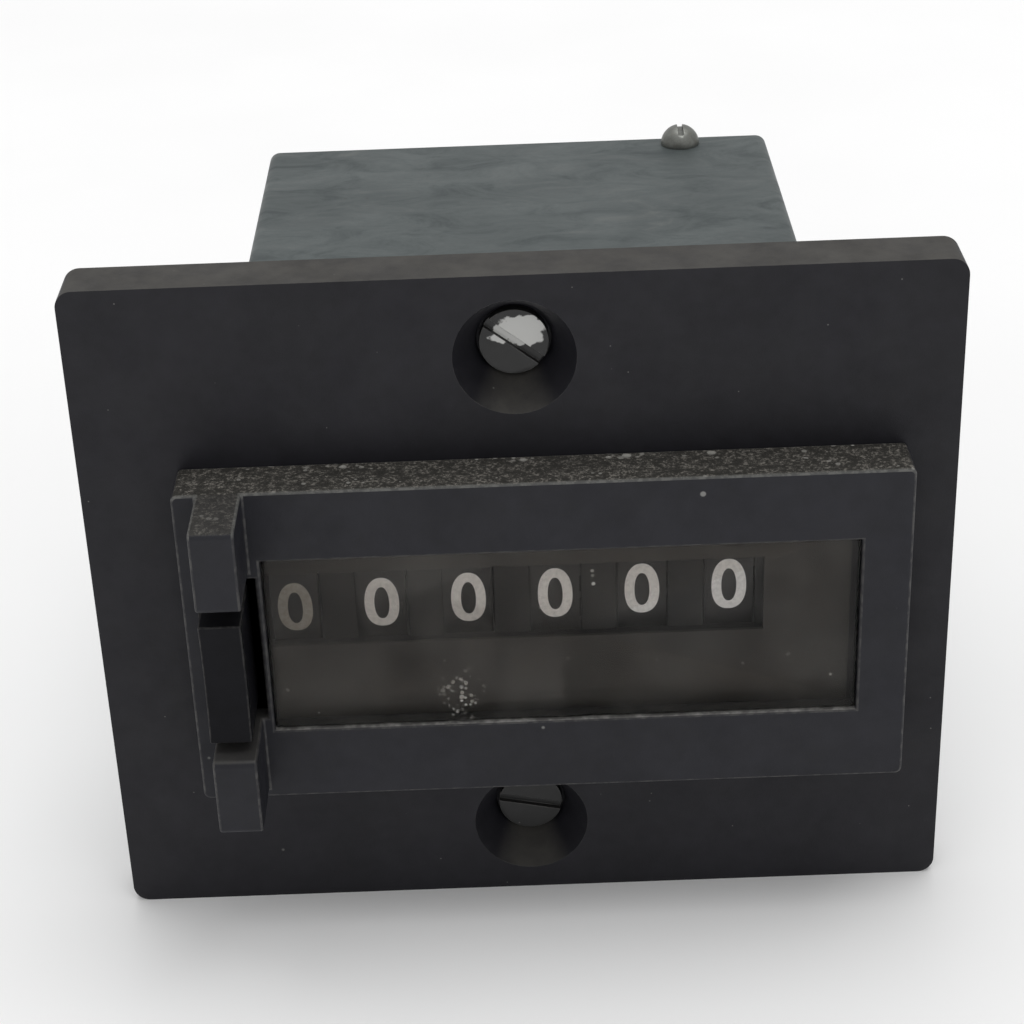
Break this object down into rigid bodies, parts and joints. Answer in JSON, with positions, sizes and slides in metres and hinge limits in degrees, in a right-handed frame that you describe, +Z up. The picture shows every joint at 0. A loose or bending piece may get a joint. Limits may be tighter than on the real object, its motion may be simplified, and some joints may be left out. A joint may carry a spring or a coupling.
{
  "type": "electromechanical counter",
  "caption": "Panel-mount electric impulse counter: number wheels behind a window, a push reset key between guards, a coil and a metal housing.",
  "frame": {"origin": "centre of the flange's rear face, midway between the two panel screws", "axes": "+Y into the panel along the housing, +Z up, +X to the right seen from the front; the window faces -Y"},
  "size_m": [0.075, 0.0901, 0.062],
  "materials": {
    "flange_black": "matt",
    "bezel_black": "matt",
    "clear_acrylic": "gloss",
    "mask_brown": "matt",
    "key_black": "gloss",
    "bright_steel": "bright",
    "spring_steel": "bright",
    "frame_zinc": "satin",
    "spacer_brass": "satin",
    "wheel_black": "satin",
    "pinion_nylon": "satin",
    "spring_bronze": "bright",
    "magnet_iron": "satin",
    "bobbin_plastic": "satin",
    "winding_copper": "satin",
    "lead_red": "satin",
    "can_zinc": "satin",
    "board_phenolic": "satin",
    "tinned_brass": "satin",
    "screw_zinc": "satin",
    "screw_black": "satin"
  },
  "bodies": {
    "case": {"flange_plate": "flange_black", "front_bezel": "bezel_black", "window_lens": "clear_acrylic", "digit_mask": "mask_brown", "left_frame": "frame_zinc", "right_frame": "frame_zinc", "tie_rods": "bright_steel", "frame_screws": "frame_zinc", "wheel_shaft": "bright_steel", "shaft_spacer": "spacer_brass", "pinion_shaft": "bright_steel", "pinion_spacers": "spacer_brass", "detent_spring": "spring_bronze", "armature_pin": "bright_steel", "reset_spring": "spring_steel", "armature_spring": "spring_steel", "magnet_yoke": "magnet_iron", "magnet_core": "magnet_iron", "coil_bobbin": "bobbin_plastic", "coil_winding": "winding_copper", "coil_leads": "lead_red", "housing_can": "can_zinc", "terminal_board": "board_phenolic", "terminal_blades": "tinned_brass", "cover_screws": "screw_zinc", "panel_screws": "screw_black"},
    "reset_key": {"reset_key": "key_black"},
    "reset_comb": {"reset_comb": "bright_steel"},
    "units_wheel": {"units_wheel": "wheel_black"},
    "tens_wheel": {"tens_wheel": "wheel_black"},
    "hundreds_wheel": {"hundreds_wheel": "wheel_black"},
    "thousands_wheel": {"thousands_wheel": "wheel_black"},
    "ten_thousands_wheel": {"ten_thousands_wheel": "wheel_black"},
    "hundred_thousands_wheel": {"hundred_thousands_wheel": "wheel_black"},
    "tens_pinion": {"tens_pinion": "pinion_nylon"},
    "hundreds_pinion": {"hundreds_pinion": "pinion_nylon"},
    "thousands_pinion": {"thousands_pinion": "pinion_nylon"},
    "ten_thousands_pinion": {"ten_thousands_pinion": "pinion_nylon"},
    "hundred_thousands_pinion": {"hundred_thousands_pinion": "pinion_nylon"},
    "armature": {"armature": "magnet_iron", "feed_pawl": "spring_bronze"}
  },
  "joints": [
    {"name": "reset_press", "type": "slide", "parent": "case", "child": "reset_key", "axis": [0, 1, 0], "range_m": [0, 0.0028], "stiffness_N_per_m": 400, "springref_m": -0.002},
    {"name": "comb_turn", "type": "hinge", "parent": "case", "child": "reset_comb", "pos_m": [0, 0.0185, 0.00238], "axis": [1, 0, 0], "range_deg": [0, 20], "deforming": ["reset_spring"]},
    {"name": "units_turn", "type": "hinge", "parent": "case", "child": "units_wheel", "pos_m": [0.01787, 0.0046, 0.0014], "axis": [1, 0, 0], "continuous": true},
    {"name": "tens_turn", "type": "hinge", "parent": "case", "child": "tens_wheel", "pos_m": [0.01033, 0.0046, 0.0014], "axis": [1, 0, 0], "continuous": true},
    {"name": "hundreds_turn", "type": "hinge", "parent": "case", "child": "hundreds_wheel", "pos_m": [0.00278, 0.0046, 0.0014], "axis": [1, 0, 0], "continuous": true},
    {"name": "thousands_turn", "type": "hinge", "parent": "case", "child": "thousands_wheel", "pos_m": [-0.00477, 0.0046, 0.0014], "axis": [1, 0, 0], "continuous": true},
    {"name": "ten_thousands_turn", "type": "hinge", "parent": "case", "child": "ten_thousands_wheel", "pos_m": [-0.01232, 0.0046, 0.0014], "axis": [1, 0, 0], "continuous": true},
    {"name": "hundred_thousands_turn", "type": "hinge", "parent": "case", "child": "hundred_thousands_wheel", "pos_m": [-0.01988, 0.0046, 0.0014], "axis": [1, 0, 0], "continuous": true},
    {"name": "tens_pinion_turn", "type": "hinge", "parent": "case", "child": "tens_pinion", "pos_m": [0.01033, 0.01267, -0.00821], "axis": [1, 0, 0], "continuous": true},
    {"name": "hundreds_pinion_turn", "type": "hinge", "parent": "case", "child": "hundreds_pinion", "pos_m": [0.00278, 0.01267, -0.00821], "axis": [1, 0, 0], "continuous": true},
    {"name": "thousands_pinion_turn", "type": "hinge", "parent": "case", "child": "thousands_pinion", "pos_m": [-0.00477, 0.01267, -0.00821], "axis": [1, 0, 0], "continuous": true},
    {"name": "ten_thousands_pinion_turn", "type": "hinge", "parent": "case", "child": "ten_thousands_pinion", "pos_m": [-0.01232, 0.01267, -0.00821], "axis": [1, 0, 0], "continuous": true},
    {"name": "hundred_thousands_pinion_turn", "type": "hinge", "parent": "case", "child": "hundred_thousands_pinion", "pos_m": [-0.01988, 0.01267, -0.00821], "axis": [1, 0, 0], "continuous": true},
    {"name": "armature_pull", "type": "hinge", "parent": "case", "child": "armature", "pos_m": [0, 0.0272, 0.0126], "axis": [1, 0, 0], "range_deg": [0, 3], "stiffness_Nm_per_rad": 0.05, "springref_deg": -4.58, "deforming": ["armature_spring"]}
  ],
  "couplings": [
    {"joint": "comb_turn", "follows": "reset_press", "rad_per_m": 122.57},
    {"joint": "tens_pinion_turn", "follows": "tens_turn", "ratio": -2.5},
    {"joint": "hundreds_pinion_turn", "follows": "hundreds_turn", "ratio": -2.5},
    {"joint": "thousands_pinion_turn", "follows": "thousands_turn", "ratio": -2.5},
    {"joint": "ten_thousands_pinion_turn", "follows": "ten_thousands_turn", "ratio": -2.5},
    {"joint": "hundred_thousands_pinion_turn", "follows": "hundred_thousands_turn", "ratio": -2.5}
  ]
}
